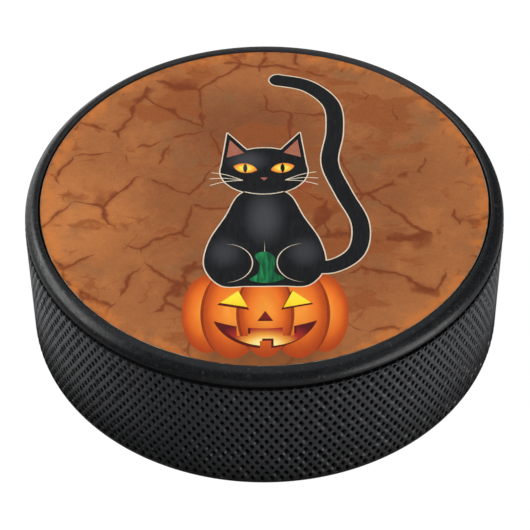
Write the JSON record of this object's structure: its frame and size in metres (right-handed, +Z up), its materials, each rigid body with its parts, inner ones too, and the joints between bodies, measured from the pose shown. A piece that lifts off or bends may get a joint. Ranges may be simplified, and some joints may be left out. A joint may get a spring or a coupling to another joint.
{
  "type": "ice hockey puck",
  "caption": "Flat black rubber disc with a diamond-knurled side, a smooth bevelled rim above a narrow groove, and a picture printed in ink on a white base coat in a shallow recess on top.",
  "frame": {"origin": "centre of the underside, in the plane the puck rests on", "axes": "+Z up along the puck's axis, +Y towards the top of the printed picture, +X to the picture's right"},
  "size_m": [0.0762, 0.0762, 0.0254],
  "materials": {
    "black_rubber": "satin vulcanised rubber, smooth bevelled rim, diamond-knurled side",
    "white_base": "matte white ink base coat",
    "aged_orange_ink": "satin ink, mottled orange-brown with dark veins",
    "pumpkin_orange_ink": "satin ink, orange shaded to red-brown at the edges",
    "crease_brown_ink": "satin ink, dark orange-brown",
    "dark_red_ink": "satin ink, very dark red",
    "glow_yellow_ink": "satin ink, yellow shaded to orange",
    "stem_green_ink": "satin ink, green shaded to dark green",
    "cat_black_ink": "satin ink, black with soft grey shading",
    "outline_cream_ink": "satin ink, pale cream",
    "eye_amber_ink": "satin ink, yellow shaded to amber",
    "ear_pink_ink": "satin ink, dull brownish pink"
  },
  "bodies": {
    "root": {"rubber_puck": "black_rubber", "white_base_coat": "white_base", "background_ink": "aged_orange_ink", "pumpkin_ink": "pumpkin_orange_ink", "pumpkin_crease_ink": "crease_brown_ink", "carved_edge_ink": "dark_red_ink", "candle_glow_ink": "glow_yellow_ink", "stem_ink": "stem_green_ink", "cat_ink": "cat_black_ink", "cat_outline_ink": "outline_cream_ink", "cat_eye_ink": "eye_amber_ink", "ear_ink": "ear_pink_ink"}
  },
  "joints": []
}
